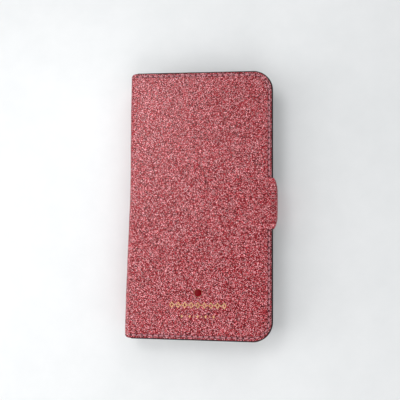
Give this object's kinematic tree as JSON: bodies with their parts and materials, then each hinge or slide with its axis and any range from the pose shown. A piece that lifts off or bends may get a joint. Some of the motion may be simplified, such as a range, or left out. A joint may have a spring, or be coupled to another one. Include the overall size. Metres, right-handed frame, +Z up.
{
  "type": "phone case",
  "caption": "Folio phone case in glitter-coated leatherette: a stitched book cover round a moulded shell, with card pockets and a magnetic strap.",
  "frame": {"origin": "under the middle of the closed case's box, level with the underside of the strap's end", "axes": "+X from the spine to the opening edge, +Y to the top of the phone, +Z up through the front cover"},
  "size_m": [0.0848, 0.151, 0.0206],
  "materials": {
    "glitter_skin": "coarse glitter coating",
    "seam_thread": "bonded polyester thread",
    "dark_lining": "fine-grained leatherette",
    "pocket_leather": "fine-grained leatherette",
    "pocket_thread": "bonded polyester thread",
    "edge_paint": "satin edge paint",
    "stiff_board": "raw board",
    "moulded_shell": "fine spark texture",
    "adhesive": "satin",
    "plate_steel": "zinc plated",
    "magnet_nickel": "nickel plated",
    "gold_metal": "polished",
    "red_enamel": "domed enamel"
  },
  "bodies": {
    "back_cover": {"back_skin": "glitter_skin", "back_board": "stiff_board", "back_lining": "dark_lining", "back_seam_thread": "seam_thread", "catch_plate": "plate_steel", "shell_adhesive": "adhesive", "phone_shell": "moulded_shell"},
    "spine": {"spine_skin": "glitter_skin", "spine_board": "stiff_board", "spine_lining": "dark_lining"},
    "front_cover": {"front_skin": "glitter_skin", "front_board": "stiff_board", "front_lining": "dark_lining", "front_seam_thread": "seam_thread", "cash_pocket": "pocket_leather", "card_pocket_1": "pocket_leather", "card_pocket_2": "pocket_leather", "card_pocket_3": "pocket_leather", "pocket_thread": "pocket_thread", "stud_rim": "gold_metal", "stud_enamel": "red_enamel"},
    "strap_side": {"strap_side_skin": "glitter_skin", "strap_side_lining": "dark_lining", "strap_side_thread": "seam_thread"},
    "strap_end": {"strap_end_skin": "glitter_skin", "strap_end_core": "stiff_board", "strap_magnets": "magnet_nickel", "strap_end_lining": "dark_lining", "strap_end_thread": "seam_thread"}
  },
  "joints": [
    {"name": "spine_fold", "type": "hinge", "parent": "back_cover", "child": "spine", "pos_m": [-0.04181, 0, 0.00334], "axis": [0, -1, 0], "range_deg": [0, 180]},
    {"name": "cover_fold", "type": "hinge", "parent": "spine", "child": "front_cover", "pos_m": [-0.04181, 0, 0.01926], "axis": [0, -1, 0], "range_deg": [0, 180]},
    {"name": "strap_side_fold", "type": "hinge", "parent": "front_cover", "child": "strap_side", "pos_m": [0.04115, 0, 0.0188], "axis": [0, -1, 0], "range_deg": [0, 120]},
    {"name": "strap_end_fold", "type": "hinge", "parent": "strap_side", "child": "strap_end", "pos_m": [0.04115, 0, 0.0011], "axis": [0, -1, 0], "range_deg": [0, 90]}
  ]
}
